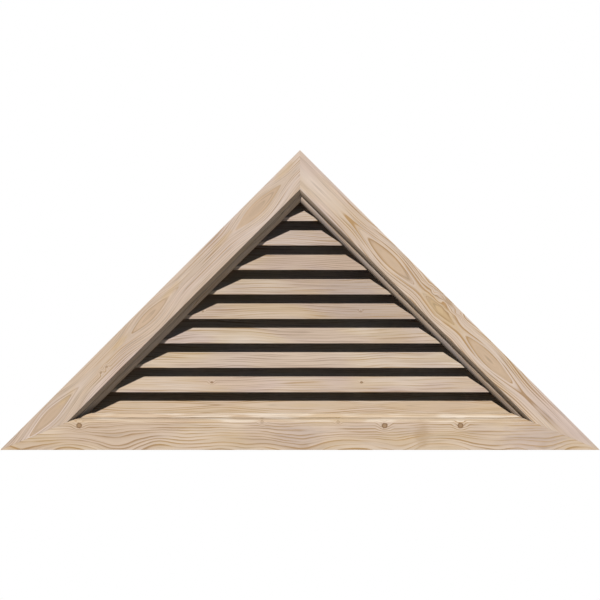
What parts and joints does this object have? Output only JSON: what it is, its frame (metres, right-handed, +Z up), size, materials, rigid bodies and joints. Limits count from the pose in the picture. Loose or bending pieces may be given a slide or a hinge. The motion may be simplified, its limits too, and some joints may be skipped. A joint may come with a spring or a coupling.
{
  "type": "gable vent",
  "caption": "Triangular pine gable vent: mitred trim with a bevel and bead, sloping louvre slats housed in a mitred jamb box, and stapled wire cloth over the back.",
  "frame": {"origin": "on the wall plane, at the middle of the back face of the bottom trim's flange", "axes": "+X to the right as seen from the front, +Y into the wall, +Z up"},
  "size_m": [1.4732, 0.1062, 0.7366],
  "materials": {
    "trim_pine": "smooth planed bare pine",
    "jamb_pine": "planed bare pine",
    "slat_pine": "smooth planed bare pine",
    "screen_wire": "dull galvanised wire",
    "staple_steel": "bright galvanised staple wire"
  },
  "bodies": {
    "root": {"bottom_trim": "trim_pine", "right_rake_trim": "trim_pine", "left_rake_trim": "trim_pine", "sill_jamb": "jamb_pine", "right_rake_jamb": "jamb_pine", "left_rake_jamb": "jamb_pine", "insect_screen": "screen_wire", "sill_staples": "staple_steel", "right_rake_staples": "staple_steel", "left_rake_staples": "staple_steel", "louvre_slat_1": "slat_pine", "louvre_slat_2": "slat_pine", "louvre_slat_3": "slat_pine", "louvre_slat_4": "slat_pine", "louvre_slat_5": "slat_pine", "louvre_slat_6": "slat_pine", "louvre_slat_7": "slat_pine", "louvre_slat_8": "slat_pine", "louvre_slat_9": "slat_pine"}
  },
  "joints": []
}
